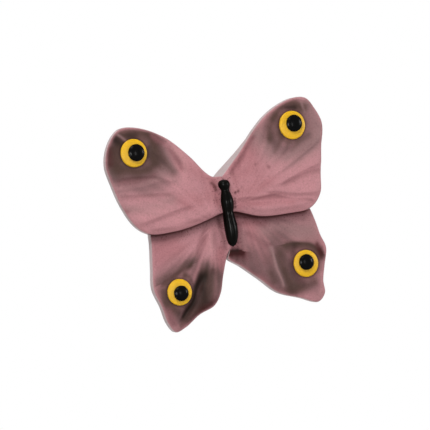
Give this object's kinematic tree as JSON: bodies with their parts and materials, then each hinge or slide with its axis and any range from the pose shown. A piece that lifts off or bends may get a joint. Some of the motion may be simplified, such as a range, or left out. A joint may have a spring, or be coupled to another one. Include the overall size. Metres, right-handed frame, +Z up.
{
  "type": "butterfly drawer knob",
  "caption": "Hand-painted cast resin drawer knob in the shape of a mauve butterfly with pleated wings, domed eyespots and a glossy black body, on a turned stem with a brass screw insert.",
  "frame": {"origin": "centre of the screw hole, in the plane of the mounting face that bears on the drawer front", "axes": "+X to the right seen from the front, +Z up with the butterfly's head upward, +Y back into the drawer along the screw hole's axis"},
  "size_m": [0.0547, 0.0236, 0.0505],
  "materials": {
    "wing_paint": "matte hand-sprayed mauve paint on cast resin, darker round the eyespots and in the crevices",
    "body_gloss": "glossy black lacquer",
    "eyespot_yellow": "satin yellow enamel",
    "pupil_gloss": "glossy black enamel dome",
    "insert_brass": "machined brass"
  },
  "bodies": {
    "root": {"stem": "wing_paint", "threaded_insert": "insert_brass", "body": "body_gloss", "forewing_left": "wing_paint", "eyespot_forewing_left": "eyespot_yellow", "pupil_forewing_left": "pupil_gloss", "forewing_right": "wing_paint", "eyespot_forewing_right": "eyespot_yellow", "pupil_forewing_right": "pupil_gloss", "hindwing_left": "wing_paint", "eyespot_hindwing_left": "eyespot_yellow", "pupil_hindwing_left": "pupil_gloss", "hindwing_right": "wing_paint", "eyespot_hindwing_right": "eyespot_yellow", "pupil_hindwing_right": "pupil_gloss"}
  },
  "joints": []
}
